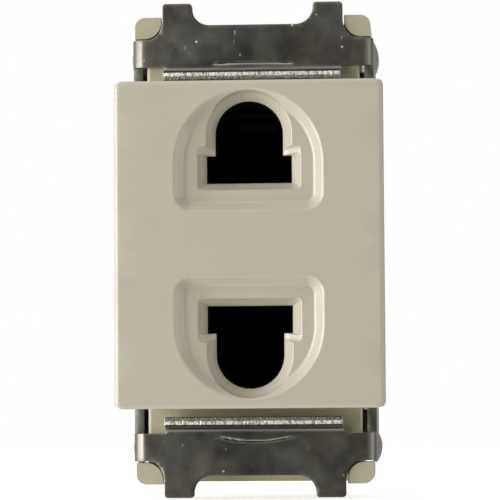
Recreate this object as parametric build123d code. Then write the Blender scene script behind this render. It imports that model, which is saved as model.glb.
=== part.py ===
from build123d import *
import math
import os

os.makedirs("parts", exist_ok=True)

# A one-module wall outlet for two-pin plugs, held in a mounting frame by two sheet-metal straps.
# Millimetres. X to the right, Z up, the face looks toward -Y.
# The origin is the middle of the mounting plane, which is the front of the strap ears.

# ---- plug that goes in -------------------------------------------------------------------
blade_pitch = 12.7            # flat blades, centre to centre
blade_width = 6.35
blade_thickness = 1.5
pin_pitch = 19.0              # round pins, centre to centre
pin_diameter = 4.8            # thickest round pin

# ---- face and openings -------------------------------------------------------------------
face_width = 22.6
face_height = 27.5
face_standoff = 7.0           # face ahead of the mounting plane
face_thickness = 1.8
face_corner_radius = 0.5
face_edge_radius = 0.4
slot_side_clearance = 0.4     # beside a flat blade, each side
slot_inner_clearance = 0.45   # between a flat blade and the slot's edge nearer the middle
slot_outer_clearance = 0.36
arch_clearance = 0.44         # around the thickest round pin
arch_drop = 0.25              # arch centre, nearer the middle than the round pin's centre
lead_in = 0.8                 # width of the bevel round an opening
lead_in_inner = 0.65          # the same along the slot's edge nearer the middle
lead_in_depth = 0.95

# ---- finger dish round each opening ------------------------------------------------------
dish_half_width = 6.33
dish_centre = 6.8             # centre of its round end, from the middle of the face
dish_inner_edge = 2.65        # its straight edge, from the middle of the face
dish_depth = 0.8
dish_slope = 1.0              # width of its sloped border
dish_corner_radius = 1.6
dish_corner_shrink = 0.6      # how fast its corner radius shrinks toward the floor

# ---- cover and body ----------------------------------------------------------------------
flange_inset = 0.23           # flange and pads inside the outer faces of the strap legs
flange_corner_radius = 0.85
flange_thickness = 1.6
tab_setback = 0.25            # front of the corner tabs behind the mounting plane
tab_reach = 0.74              # their ends beyond the notch between the ears
waist_edge_radius = 0.3
neck_inset = 0.55             # part between face and flange, inside the face's ends
cover_wall = 1.2
neck_end_wall = 0.8           # thinner, so that the dark insert reaches past the arches
body_overhang = 0.15          # ends of the body beyond the strap legs
body_back = 23.5              # back of the body behind the mounting plane
body_wall = 1.1
back_wall = 1.8
side_pad_back = 14.0
lip_setback = 4.6             # end lips behind the mounting plane: room for the frame's rail
lip_thickness = 2.2
lip_reach = 0.56              # their ends beyond the notch between the ears

# ---- straps ------------------------------------------------------------------------------
strap_thickness = 0.8
strap_width = 20.8            # over the two legs
strap_bend_radius = 0.2       # inside radius where a leg turns back
strap_standoff = 2.59         # strap beyond the cover's neck
plate_height = 3.6            # flat plate, from its inner edge to the notch between the ears
wrap_height = 2.36            # strip that turns back at each side of the plate
ear_length = 1.89             # ears beyond the notch
ear_width = 2.56
ear_shoulder = 1.62           # plate beside an ear, up to the bend
ear_corner_radius = 0.3
ear_root_radius = 1.5
ear_flare_relief = 0.02       # straight left between the flare and a leg's bend
lip_fold_setback = 1.76       # ends of the upturned stiffening fold, inside the bends
lip_fold_radius = 0.6
lip_fold_reach = 1.8          # its free edge ahead of the mounting plane
leg_widening = 3.89           # a leg's wide part, beyond its narrow one toward the middle
leg_end = 13.0
leg_shoulder = 1.2            # where a leg widens, behind the mounting plane
leg_corner_radius = 0.35
leg_bead_height = 0.4
leg_bead_start = 3.5
leg_bead_end = 8.3
window_height = 2.8
window_front = 9.3
window_length = 2.5
latch_nose_land = 0.5         # flat top of the body's nose in the window
groove_half_length = 3.4      # pressed groove at the root of the fold
groove_width = 0.45
groove_depth = 0.15
groove_setback = 0.1          # from the plate's inner edge

# ---- contacts, terminals and release buttons ---------------------------------------------
holder_wall = 0.6
holder_back = 13.2
holder_rim = 1.4
stop_half_width = 1.5         # block that stops a pushed release button
chamber_side_gap = 0.125      # contact chamber round the slot or the clip, whichever is wider
chamber_inner_gap = 1.2       # chamber beyond a flat blade, toward the middle
chamber_outer_gap = 0.5       # chamber beyond a round pin
jaw_sheet = 0.5
jaw_tip = 3.4                 # jaw tips behind the mounting plane
jaw_pinch = 5.2
jaw_side_setback = 0.275      # blade jaw narrower than a blade, each side
jaw_spread = 0.5              # how far a jaw's arms lean outward at their root
blade_grip = 1.1              # gap of the relaxed flat-blade jaw
blade_flare_inner = 0.75      # turned-out tips, nearer the middle and farther from it
blade_flare_outer = 0.3
pin_bite = 1.1                # relaxed round-pin jaw tighter than the thickest pin
pin_flare = 0.55
jaw_clearance = 0.4           # between the two jaws of one pole
pin_jaw_setback = 0.9         # round-pin jaw inside its chamber's outer end
clip_sheet = 0.3
clip_width = 1.4
clip_clearance = 0.2          # clip outside the jaw's arms
clip_lean = 0.3
clip_reach = 0.4              # clip's ends inside the jaw's lower edge
clip_rise = 0.55              # clip's bridge over the jaw's upper edge
rivet_radius = 0.6
rivet_head_radius = 0.95
rivet_head = 0.4
rivet_drill = 4.0             # more than all that the rivet passes through
terminal_sheet = 0.7
terminal_half_width = 6.2
foot_overlap = 0.9            # terminal's foot beyond the chamber it closes
terminal_end_gap = 0.7
rib_width = 0.9               # ribs that back the terminal plates and stop the springs
wire_x = 4.2
wire_radius = 1.0
wire_hole_radius = 1.2
funnel_radius = 1.7
funnel_depth = 0.5
spring_sheet = 0.3
spring_width = 3.0
spring_end_gap = 0.2          # anchor leg off the body's end wall
spring_back_gap = 0.5         # its turn off the back wall
spring_anchor_start = 2.8     # leg ends behind the contact holder
spring_bite_depth = 4.4        # from its turn forward to its biting tip
spring_tip_rise = 0.4         # biting tip over the terminal's wing
spring_root_rise = 2.1
spring_cut = 0.4              # its folded corners
button_half_width = 1.6
button_height = 2.1
button_edge_radius = 0.25
button_bar_height = 1.25
button_bar_depth = 1.2
stem_half_width = 0.9
button_travel = 1.5
button_recess = 0.2
prong_width = 0.5
prong_length = 0.8

# ---- clearances --------------------------------------------------------------------------
pocket_gap = 0.12             # tabs round the strap
leg_gap = 0.4                 # strap legs beside the waist
pad_gap = 0.4                 # strap legs beside the pads
assembly_gap = 0.1            # pieces that drop in
slide_gap = 0.1               # button in its slot
stop_gap = 0.05               # beside and beyond a button's travel
hole_gap = 0.05               # rivet in its hole
mouth_gap = 0.1               # holder's mouths round the face's openings

# ---- worked out from the above -----------------------------------------------------------
face_front = -face_standoff
plate_back = face_front + face_thickness
flange_front = strap_thickness
flange_back = flange_front + flange_thickness
slot_half_width = blade_width / 2 + slot_side_clearance
slot_inner = blade_pitch / 2 - blade_thickness / 2 - slot_inner_clearance
slot_outer = blade_pitch / 2 + blade_thickness / 2 + slot_outer_clearance
arch_radius = pin_diameter / 2 + arch_clearance
arch_centre = pin_pitch / 2 - arch_drop

leg_inside = strap_width / 2 - strap_thickness
waist_width = 2 * (leg_inside - leg_gap)
flange_width = strap_width - 2 * flange_inset
bend_outer = strap_bend_radius + strap_thickness
flat_half = strap_width / 2 - bend_outer
ear_outer = flat_half - ear_shoulder
ear_inner = ear_outer - ear_width
ear_flare_radius = ear_shoulder - ear_flare_relief
lip_fold_half_width = flat_half - lip_fold_setback

neck_height = face_height - 2 * neck_inset
strap_inner_edge = neck_height / 2 + strap_standoff
strap_wrap_edge = strap_inner_edge + wrap_height
strap_notch_edge = strap_inner_edge + plate_height
ear_tip = strap_notch_edge + ear_length
leg_inner_edge = strap_inner_edge - leg_widening
leg_middle = (leg_inner_edge + strap_wrap_edge) / 2
flange_height = 2 * (strap_notch_edge + tab_reach)
lip_height = 2 * (strap_notch_edge + lip_reach)
body_height = 2 * (strap_wrap_edge + body_overhang)
side_pad_height = 2 * (leg_inner_edge - pad_gap)

holder_front = flange_back + assembly_gap
cavity_half_width = waist_width / 2 - cover_wall
cavity_half_height = body_height / 2 - body_wall
back_inside = body_back - back_wall
blade_z = blade_pitch / 2
pin_grip = pin_diameter - pin_bite
clip_half_width = pin_grip / 2 + jaw_sheet + clip_clearance + clip_lean + clip_sheet
chamber_half_width = max(slot_half_width, clip_half_width) + chamber_side_gap
chamber_low = blade_z - blade_thickness / 2 - chamber_inner_gap
chamber_high = pin_pitch / 2 + pin_diameter / 2 + chamber_outer_gap
jaw_half_width = blade_width / 2 - jaw_side_setback
pin_jaw_low = blade_z + blade_grip / 2 + jaw_sheet + jaw_spread + jaw_clearance
pin_jaw_high = chamber_high - pin_jaw_setback
pin_jaw_middle = (pin_jaw_low + pin_jaw_high) / 2
terminal_foot_half_width = chamber_half_width + foot_overlap
web_front = holder_back - jaw_sheet
foot_back = holder_back + terminal_sheet
wing_low = chamber_high + holder_wall + assembly_gap
wing_high = wing_low + terminal_sheet
wire_z = wing_high + wire_radius


def block(low, high):
    """A box between two opposite corners."""
    size = [b - a for a, b in zip(low, high)]
    middle = [(a + b) / 2 for a, b in zip(low, high)]
    return Pos(*middle) * Box(*size)


def along_depth(outline, front, back):
    """An outline drawn in X and Z, made solid from y = front to y = back."""
    plane = Plane(origin=(0, back, 0), x_dir=(1, 0, 0), z_dir=(0, -1, 0))
    return extrude(plane * outline, amount=back - front)


def along_width(outline, left, right):
    """An outline drawn in Y and Z, made solid from x = left to x = right."""
    plane = Plane(origin=(left, 0, 0), x_dir=(0, 1, 0), z_dir=(1, 0, 0))
    return extrude(plane * outline, amount=right - left)


def along_height(outline, low, high):
    """An outline drawn in X and Y, made solid from z = low to z = high."""
    return extrude(Pos(0, 0, low) * outline, amount=high - low)


def both_sides(shape):
    """The shape and its mirror image left to right."""
    return shape + mirror(shape, about=Plane.YZ)


def both_ends(shape):
    """The shape and its mirror image top to bottom."""
    return shape + mirror(shape, about=Plane.XY)


def closed(points):
    return make_face(Polyline(*points, close=True))


def rounded(corners):
    """A closed outline from its corners, each an x, a z and the radius that rounds it."""
    edges = []
    arcs = []
    for i, (x, z, radius) in enumerate(corners):
        before = corners[i - 1]
        after = corners[(i + 1) % len(corners)]
        here = Vector(x, z)
        to_before = (Vector(before[0], before[1]) - here).normalized()
        to_after = (Vector(after[0], after[1]) - here).normalized()
        half_angle = math.radians(to_before.get_angle(to_after)) / 2
        cut = radius / math.tan(half_angle)
        start = here + to_before * cut
        end = here + to_after * cut
        arcs.append((start, end))
        if radius > 0:
            inward = (to_before + to_after).normalized()
            middle = here + inward * (radius / math.sin(half_angle) - radius)
            edges.append(ThreePointArc(start, middle, end))
    for (_, end), (start, _) in zip(arcs, arcs[1:] + arcs[:1]):
        if (start - end).length > 0.001:
            edges.append(Line(end, start))
    return make_face(edges)


def bent_strip(points, sheet):
    """The edge view of a folded strip: a line of points given the sheet's thickness."""
    left = []
    right = []
    last = len(points) - 1
    for i, (px, py) in enumerate(points):
        before = points[max(i - 1, 0)]
        after = points[min(i + 1, last)]
        runs = []
        for a, b in ((before, (px, py)), ((px, py), after)):
            length = math.hypot(b[0] - a[0], b[1] - a[1])
            if length > 0:
                runs.append(((b[0] - a[0]) / length, (b[1] - a[1]) / length))
        first, second = runs[0], runs[-1]
        nx = -(first[1] + second[1])
        ny = first[0] + second[0]
        scale = sheet / (nx * nx + ny * ny)
        left.append((px + nx * scale, py + ny * scale))
        right.append((px - nx * scale, py - ny * scale))
    return closed(left + right[::-1])


def opening_outline(grow, grow_inner):
    """One bell-shaped opening: a wide slot for a flat blade under an arch for a round pin."""
    low = slot_inner - grow_inner
    shoulder = slot_outer + grow
    wide = slot_half_width + grow
    narrow = arch_radius + grow
    top = arch_centre + narrow
    right = [(wide, low, 0), (wide, shoulder, 0), (narrow, shoulder, 0), (narrow, top, narrow)]
    left = [(-x, z, radius) for x, z, radius in reversed(right)]
    return rounded(right + left)


def dish_outline(inset):
    """The dish round an opening: a half-round end and a straight edge with rounded corners."""
    half = dish_half_width - inset
    low = dish_inner_edge + inset
    high = dish_centre + half
    small = dish_corner_radius - inset * dish_corner_shrink
    return rounded(
        [(half, low, small), (half, high, half), (-half, high, half), (-half, low, small)]
    )


def sloped_cut(outer, front, inner, back):
    """A pocket whose outline shrinks from one sketch to another, with straight walls."""
    top = Plane(origin=(0, front, 0), x_dir=(1, 0, 0), z_dir=(0, -1, 0)) * outer
    bottom = Plane(origin=(0, back, 0), x_dir=(1, 0, 0), z_dir=(0, -1, 0)) * inner
    return loft([top.face(), bottom.face()], ruled=True)


def face_plate():
    """The face with its rounded rim, the two dishes and the bevelled openings."""
    outline = RectangleRounded(face_width, face_height, face_corner_radius)
    plate = along_depth(outline, face_front, plate_back)
    rim = plate.faces().sort_by(Axis.Y)[0].edges()
    plate = fillet(rim, face_edge_radius)
    floor = face_front + dish_depth
    dish = sloped_cut(dish_outline(0), face_front, dish_outline(dish_slope), floor)
    plate -= both_ends(dish)
    mouth = opening_outline(lead_in, lead_in_inner)
    bevel = sloped_cut(mouth, floor, opening_outline(0, 0), floor + lead_in_depth)
    bevel += along_depth(mouth, face_front, floor)
    return plate - both_ends(bevel)


def corner_tab(back):
    """One corner tab, nested in the hollow side of a strap ear."""
    left = ear_outer + pocket_gap
    low = strap_wrap_edge + pocket_gap
    high = flange_height / 2
    right = flange_width / 2
    disc = Circle(ear_flare_radius - pocket_gap)
    hollow = Pos(left + disc.radius, low + disc.radius) * disc
    square = rounded(
        [(left, low, 0), (right, low, 0), (right, high, flange_corner_radius), (left, high, 0)]
    )
    corner = Pos(left + disc.radius / 2, low + disc.radius / 2) * Rectangle(disc.radius, disc.radius)
    nested = along_depth(square - (corner - hollow), tab_setback, strap_thickness)
    return nested + along_depth(square, strap_thickness, back)


def front_cover():
    """Face, hollow neck, and the flange with its corner tabs."""
    half_waist = waist_width / 2
    neck = block(
        (-half_waist, plate_back, -neck_height / 2),
        (half_waist, flange_back, neck_height / 2),
    )
    end = strap_wrap_edge + pocket_gap
    flange = block((-half_waist, flange_front, -end), (half_waist, flange_back, end))
    edges = flange.edges().filter_by(Axis.Z).group_by(Axis.Y)[0]
    flange = fillet(edges, waist_edge_radius)
    pads = block(
        (-flange_width / 2, flange_front, -side_pad_height / 2),
        (flange_width / 2, flange_back, side_pad_height / 2),
    )
    tabs = both_ends(both_sides(corner_tab(flange_back)))
    joined = neck + flange + pads
    cavity_z = neck_height / 2 - neck_end_wall
    joined -= block(
        (-cavity_half_width, plate_back, -cavity_z),
        (cavity_half_width, flange_back, cavity_z),
    )
    hole = along_depth(opening_outline(0, 0), face_front, plate_back)
    return face_plate() + joined + tabs - both_ends(hole)


def latch_nose():
    """A wedge on the side of the body that a strap leg's window snaps over."""
    root = waist_width / 2
    peak = strap_width / 2 - assembly_gap
    front = window_front + assembly_gap
    back = window_front + window_length - assembly_gap
    outline = closed([(root, front), (peak, front), (peak, front + latch_nose_land), (root, back)])
    half = window_height / 2 - assembly_gap
    return along_height(outline, leg_middle - half, leg_middle + half)


def rear_body():
    """The open box behind the cover, with end lips, corner posts, pads and latch noses."""
    half_waist = waist_width / 2
    shell = block(
        (-half_waist, flange_back, -body_height / 2),
        (half_waist, body_back, body_height / 2),
    )
    back_edges = shell.faces().sort_by(Axis.Y)[-1].edges()
    shell = fillet(back_edges, face_corner_radius)
    pads = block(
        (-flange_width / 2, flange_back, -side_pad_height / 2),
        (flange_width / 2, side_pad_back, side_pad_height / 2),
    )
    lip_low = strap_wrap_edge + pocket_gap
    lip_outline = RectangleRounded(flange_width, lip_height, flange_corner_radius)
    lip_outline -= Rectangle(flange_width, 2 * lip_low)
    lips = along_depth(lip_outline, lip_setback, lip_setback + lip_thickness)
    left = ear_outer + pocket_gap
    post = block(
        (left, flange_back, lip_low),
        (flange_width / 2, lip_setback + lip_thickness, flange_height / 2),
    )
    corner = post.edges().filter_by(Axis.Y).sort_by(lambda e: e.center().X + e.center().Z)[-1]
    post = fillet(corner, flange_corner_radius)
    posts = both_ends(both_sides(post))
    noses = both_ends(both_sides(latch_nose()))
    body = shell + pads + lips + posts + noses
    body -= block(
        (-cavity_half_width, flange_back, -cavity_half_height),
        (cavity_half_width, back_inside, cavity_half_height),
    )
    hole = along_depth(Circle(wire_hole_radius), back_inside, body_back)
    funnel = Pos(0, body_back - funnel_depth / 2, 0) * Rot(-90, 0, 0) * Cone(
        wire_hole_radius, funnel_radius, funnel_depth
    )
    entry = Pos(wire_x, 0, wire_z) * (hole + funnel)
    rib_middle = (chamber_half_width + terminal_foot_half_width) / 2
    rib = block(
        (rib_middle - rib_width / 2, foot_back + assembly_gap, chamber_low),
        (rib_middle + rib_width / 2, back_inside, chamber_high),
    )
    anchor_front = spring_path()[0][0]
    half_spring = spring_width / 2
    ledge = block(
        (wire_x - half_spring, anchor_front - assembly_gap - rib_width, cavity_half_height - rib_width),
        (wire_x + half_spring, anchor_front - assembly_gap, cavity_half_height),
    )
    body += both_ends(both_sides(rib + ledge))
    slot_low, slot_high = button_heights()
    slot = block(
        (-button_half_width - slide_gap, back_inside, slot_low - slide_gap),
        (button_half_width + slide_gap, body_back, slot_high + slide_gap),
    )
    return body - both_ends(both_sides(entry)) - both_ends(slot)


def button_heights():
    """Lowest and highest z of the upper button's head."""
    low = wing_high + assembly_gap + stop_gap
    return low, low + button_height


def contact_holder():
    """The dark insert that holds both poles' contacts in chambers of their own."""
    half_height = chamber_high + holder_wall
    half_width = cavity_half_width - assembly_gap
    core = block(
        (-half_width, holder_front, -half_height), (half_width, holder_back, half_height)
    )
    nose_front = plate_back + assembly_gap
    nose_half = neck_height / 2 - neck_end_wall - assembly_gap
    nose = block(
        (-half_width, nose_front, -nose_half), (half_width, holder_front, nose_half)
    )
    rim_half = cavity_half_height - assembly_gap
    rim = block(
        (-half_width, holder_front, -rim_half),
        (half_width, holder_front + holder_rim, rim_half),
    )
    stop_high = button_heights()[0] + button_bar_height + stop_gap
    stop = block(
        (-stop_half_width, holder_back - holder_rim, half_height - holder_wall / 2),
        (stop_half_width, holder_back, stop_high),
    )
    chamber = block(
        (-chamber_half_width, holder_front, chamber_low),
        (chamber_half_width, holder_back, chamber_high),
    )
    mouth = along_depth(opening_outline(mouth_gap, mouth_gap), nose_front, holder_front)
    return core + nose + rim + both_ends(stop) - both_ends(chamber) - both_ends(mouth)


def strap_plate():
    """The flat plate with its two ears, drawn as its right half and mirrored."""
    half = rounded(
        [
            (0, strap_inner_edge, 0),
            (flat_half, strap_inner_edge, 0),
            (flat_half, strap_wrap_edge, 0),
            (ear_outer, strap_wrap_edge, ear_flare_radius),
            (ear_outer, ear_tip, ear_corner_radius),
            (ear_inner, ear_tip, ear_corner_radius),
            (ear_inner, strap_notch_edge, ear_root_radius),
            (0, strap_notch_edge, 0),
        ]
    )
    whole = half + mirror(half, about=Plane.YZ)
    return along_depth(whole, 0, strap_thickness)


def strap_fold():
    """The stiffening fold: the plate's inner edge turned up toward the face."""
    centre_z = strap_inner_edge
    centre_y = -lip_fold_radius
    inner = lip_fold_radius
    outer = lip_fold_radius + strap_thickness
    ring = Circle(outer) - Circle(inner)
    quarter = ring & Pos(outer / 2, -outer / 2) * Rectangle(outer, outer)
    bend = Pos(centre_y, centre_z) * quarter
    wall = Pos((-lip_fold_reach + centre_y) / 2, centre_z - (inner + outer) / 2) * Rectangle(
        lip_fold_reach + centre_y, strap_thickness
    )
    return along_width(bend + wall, -lip_fold_half_width, lip_fold_half_width)


def strap_leg():
    """The right leg: bend, widened strip with rounded shoulders, window and pressed bead."""
    outer = bend_outer
    ring = Circle(outer) - Circle(strap_bend_radius)
    quarter = ring & Pos(outer / 2, -outer / 2) * Rectangle(outer, outer)
    bend = along_height(Pos(flat_half, outer) * quarter, strap_inner_edge, strap_wrap_edge)
    half = strap_width / 2
    neck = block((leg_inside, outer, strap_inner_edge), (half, leg_shoulder + 1, strap_wrap_edge))
    wide = block((leg_inside, leg_shoulder, leg_inner_edge), (half, leg_end, strap_wrap_edge))
    wide = fillet(wide.edges().filter_by(Axis.X), leg_corner_radius)
    bead_radius_from = strap_wrap_edge - strap_inner_edge
    radius = bead_radius_from**2 / (8 * leg_bead_height) + leg_bead_height / 2
    middle = (strap_wrap_edge + strap_inner_edge) / 2
    centre_x = half + leg_bead_height - radius
    length = leg_bead_end - leg_bead_start
    centre_y = (leg_bead_start + leg_bead_end) / 2
    axis = Pos(centre_x, centre_y, middle) * Rot(90, 0, 0)
    bead = axis * Cylinder(radius, length) & block(
        (half - 0.01, leg_bead_start, strap_inner_edge),
        (half + leg_bead_height, leg_bead_end, strap_wrap_edge),
    )
    hollow = axis * Cylinder(radius - strap_thickness, length - 2 * strap_thickness)
    hollow &= block(
        (leg_inside, leg_bead_start, strap_inner_edge), (half, leg_bead_end, strap_wrap_edge)
    )
    window = block(
        (leg_inside, window_front, leg_middle - window_height / 2),
        (half, window_front + window_length, leg_middle + window_height / 2),
    )
    return bend + neck + wide + bead - hollow - window


def strap():
    """The upper strap, bent from one sheet."""
    groove = block(
        (-groove_half_length, 0, strap_inner_edge + groove_setback),
        (groove_half_length, groove_depth, strap_inner_edge + groove_setback + groove_width),
    )
    return strap_plate() + strap_fold() + both_sides(strap_leg()) - groove


def rivet_hole(z):
    y = (web_front + foot_back) / 2
    return Pos(0, y, z) * Rot(90, 0, 0) * Cylinder(rivet_radius + hole_gap, rivet_drill)


def blade_jaw():
    """The upper flat-blade contact, one folded strip."""
    gap = (blade_grip + jaw_sheet) / 2
    web = holder_back - jaw_sheet / 2
    spread = gap + jaw_spread
    path = [
        (jaw_tip, blade_z - gap - blade_flare_inner),
        (jaw_pinch, blade_z - gap),
        (web, blade_z - spread),
        (web, blade_z + spread),
        (jaw_pinch, blade_z + gap),
        (jaw_tip, blade_z + gap + blade_flare_outer),
    ]
    strip = along_width(bent_strip(path, jaw_sheet), -jaw_half_width, jaw_half_width)
    return strip - rivet_hole(blade_z)


def pin_jaw():
    """The upper round-pin contact, a U whose arms pinch the pin from its two sides."""
    gap = (pin_grip + jaw_sheet) / 2
    web = holder_back - jaw_sheet / 2
    spread = gap + jaw_spread
    path = [
        (-gap - pin_flare, jaw_tip),
        (-gap, jaw_pinch),
        (-spread, web),
        (spread, web),
        (gap, jaw_pinch),
        (gap + pin_flare, jaw_tip),
    ]
    strip = along_height(bent_strip(path, jaw_sheet), pin_jaw_low, pin_jaw_high)
    return strip - rivet_hole(pin_jaw_middle)


def grip_clip():
    """The spring-steel clip that backs up the upper round-pin jaw."""
    gap = pin_grip / 2 + jaw_sheet + clip_sheet / 2 + clip_clearance
    top = pin_jaw_high + clip_rise
    end = pin_jaw_low + clip_reach
    path = [(-gap, end), (-gap - clip_lean, top), (gap + clip_lean, top), (gap, end)]
    return along_depth(bent_strip(path, clip_sheet), jaw_pinch, jaw_pinch + clip_width)


def terminal_plate():
    """The upper terminal plate: a riveted foot and a wing that both wires press on."""
    foot = block(
        (-terminal_foot_half_width, holder_back, chamber_low),
        (terminal_foot_half_width, foot_back, wing_high),
    )
    wing = block(
        (-terminal_half_width, holder_back, wing_low),
        (terminal_half_width, back_inside - terminal_end_gap, wing_high),
    )
    return foot + wing - rivet_hole(blade_z) - rivet_hole(pin_jaw_middle)


def rivet(z):
    """A rivet through a contact's web and the terminal plate's foot."""
    length = foot_back - web_front
    shank = Pos(0, web_front + length / 2, z) * Rot(90, 0, 0) * Cylinder(rivet_radius, length)
    head = Rot(90, 0, 0) * Cylinder(rivet_head_radius, rivet_head)
    head = fillet(head.edges().group_by(Axis.Y)[0], rivet_head / 2)
    front = Pos(0, web_front - rivet_head / 2, z) * head
    back = Pos(0, foot_back + rivet_head / 2, z) * mirror(head, about=Plane.XZ)
    return shank + front + back


def spring_path():
    """Edge line of a wire-lock spring in Y and Z: anchor leg, turn, and biting leg."""
    anchor = cavity_half_height - spring_end_gap
    turn = back_inside - spring_back_gap
    root = wing_high + spring_root_rise
    return [
        (holder_back + spring_anchor_start, anchor),
        (turn - spring_cut, anchor),
        (turn, anchor - spring_cut),
        (turn, root + spring_cut),
        (turn - spring_cut, root),
        (turn - spring_bite_depth, wing_high + spring_tip_rise),
    ]


def lock_spring():
    """One wire-lock spring: it bites a wire that is pulled back."""
    half = spring_width / 2
    return along_width(bent_strip(spring_path(), spring_sheet), wire_x - half, wire_x + half)


def release_button():
    """The upper release button: head, cross-bar with two prongs, and a stem that stops it."""
    low, high = button_heights()
    bar_high = low + button_bar_height
    bar_back = back_inside - assembly_gap
    bar_front = bar_back - button_bar_depth
    bar_half = wire_x - wire_radius - slide_gap
    head = block(
        (-button_half_width, bar_front, low), (button_half_width, body_back - button_recess, high)
    )
    top_edges = head.faces().sort_by(Axis.Y)[-1].edges()
    head = fillet(top_edges, button_edge_radius)
    bar = block((-bar_half, bar_front, low), (bar_half, bar_back, bar_high))
    prong = block(
        (bar_half - prong_width, bar_front - prong_length, low), (bar_half, bar_front, bar_high)
    )
    stem_front = holder_back + button_travel + stop_gap
    stem = block((-stem_half_width, stem_front, low), (stem_half_width, bar_front, bar_high))
    return head + bar + both_sides(prong) + stem


def write(name, shape):
    """Write one node. Every solid of it is a real piece."""
    export_step(shape, "parts/" + name + ".step")
    print(name, len(shape.solids()), round(shape.volume, 2))


def lower(shape):
    return mirror(shape, about=Plane.XY)


write("front_cover", front_cover())
write("rear_body", rear_body())
write("contact_holder", contact_holder())
write("top_strap", strap())
write("bottom_strap", lower(strap()))
for name, piece in (
    ("blade_jaw", blade_jaw()),
    ("pin_jaw", pin_jaw()),
    ("grip_clip", grip_clip()),
    ("terminal_plate", terminal_plate()),
    ("release_button", release_button()),
):
    write("upper_" + name, piece)
    write("lower_" + name, lower(piece))
rivets = rivet(blade_z) + rivet(pin_jaw_middle)
write("contact_rivets", both_ends(rivets))
right_spring = lock_spring()
left_spring = mirror(right_spring, about=Plane.YZ)
write("upper_right_lock_spring", right_spring)
write("upper_left_lock_spring", left_spring)
write("lower_right_lock_spring", lower(right_spring))
write("lower_left_lock_spring", Rot(0, 180, 0) * right_spring)
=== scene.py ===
# %% [markdown]
# # A one-module wall outlet, and how its look is made
# The outlet is a small moulded module: a beige face with two bell-shaped openings, a cream body
# behind it, a black insert that holds the contacts, and a folded steel strap at each end.
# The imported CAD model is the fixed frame. Every piece below is placed by what that frame says,
# and takes the place of the CAD node that it stands for.

# %% Load the fixed frame
import math
import bmesh
import bpy
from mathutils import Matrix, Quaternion, Vector, geometry, noise


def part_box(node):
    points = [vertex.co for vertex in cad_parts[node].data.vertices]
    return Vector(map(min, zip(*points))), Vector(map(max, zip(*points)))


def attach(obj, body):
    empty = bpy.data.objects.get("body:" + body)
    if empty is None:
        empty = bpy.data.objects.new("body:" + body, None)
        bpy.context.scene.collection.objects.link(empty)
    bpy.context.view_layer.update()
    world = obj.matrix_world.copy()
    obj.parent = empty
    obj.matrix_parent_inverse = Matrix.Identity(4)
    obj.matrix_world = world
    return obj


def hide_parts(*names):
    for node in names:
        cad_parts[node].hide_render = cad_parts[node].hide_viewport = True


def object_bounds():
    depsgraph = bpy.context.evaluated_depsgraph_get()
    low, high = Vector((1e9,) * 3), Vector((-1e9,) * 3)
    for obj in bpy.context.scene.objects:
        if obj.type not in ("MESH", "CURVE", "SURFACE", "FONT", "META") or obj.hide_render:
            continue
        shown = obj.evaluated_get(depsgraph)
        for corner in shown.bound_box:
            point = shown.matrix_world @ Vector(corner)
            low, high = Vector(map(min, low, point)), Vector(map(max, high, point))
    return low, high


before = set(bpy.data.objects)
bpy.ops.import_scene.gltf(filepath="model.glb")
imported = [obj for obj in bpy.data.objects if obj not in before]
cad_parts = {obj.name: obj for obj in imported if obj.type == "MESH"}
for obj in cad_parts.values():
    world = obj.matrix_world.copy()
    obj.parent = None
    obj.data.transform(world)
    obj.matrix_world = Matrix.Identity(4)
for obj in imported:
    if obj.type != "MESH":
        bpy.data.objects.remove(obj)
cad_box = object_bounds()
MM = 0.001
print("nodes", len(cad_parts), "box in mm", [round(v / MM, 2) for v in (*cad_box[0], *cad_box[1])])

# %% [markdown]
# ## The camera first
# A product shot of something this small is taken with a long lens from about a hand's length away.
# The lens looks almost straight at the face, a little from the right and a little from below.
# The camera is placed by its distance and two angles, so that a reader can turn it by hand.

# %% The camera
AIM = Vector((0.11, -7.0, -0.57)) * MM
CAMERA_DISTANCE = 237 * MM
CAMERA_YAW = math.radians(3.44)
CAMERA_PITCH = math.radians(-3.79)
CAMERA_ROLL = math.radians(0.35)

back = Vector((
    math.sin(CAMERA_YAW) * math.cos(CAMERA_PITCH),
    -math.cos(CAMERA_YAW) * math.cos(CAMERA_PITCH),
    math.sin(CAMERA_PITCH),
))
lens = bpy.data.cameras.new("camera")
lens.lens = 204.8
lens.sensor_width = 36
lens.clip_start = 0.01
camera = bpy.data.objects.new("camera", lens)
bpy.context.scene.collection.objects.link(camera)
camera.location = AIM + back * CAMERA_DISTANCE
level = back.to_track_quat("Z", "Y")
camera.rotation_mode = "QUATERNION"
camera.rotation_quaternion = level @ Quaternion((0, 0, 1), -CAMERA_ROLL)
bpy.context.scene.camera = camera
print("camera at mm", [round(v / MM, 1) for v in camera.location])

# %% [markdown]
# ## Shader maths that reads as maths
# A Blender material is a network of nodes, and its sums are Math nodes wired together.
# Wrapping a socket in a small class lets those sums be written as ordinary expressions.
# `Finish` starts a material: settings that are the same all over go straight on the shader,
# and what changes over the surface is linked in.


# %% A value in a material
class Value:
    """One output socket, with the sums that the finishes below use."""

    def __init__(self, finish, socket):
        self.finish = finish
        self.socket = socket

    def _sum(self, operation, first, second):
        return self.finish.node("ShaderNodeMath", {"operation": operation}, {0: first, 1: second})

    def __add__(self, other):
        return self._sum("ADD", self, other)

    def __mul__(self, other):
        return self._sum("MULTIPLY", self, other)

    __radd__ = __add__
    __rmul__ = __mul__


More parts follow.
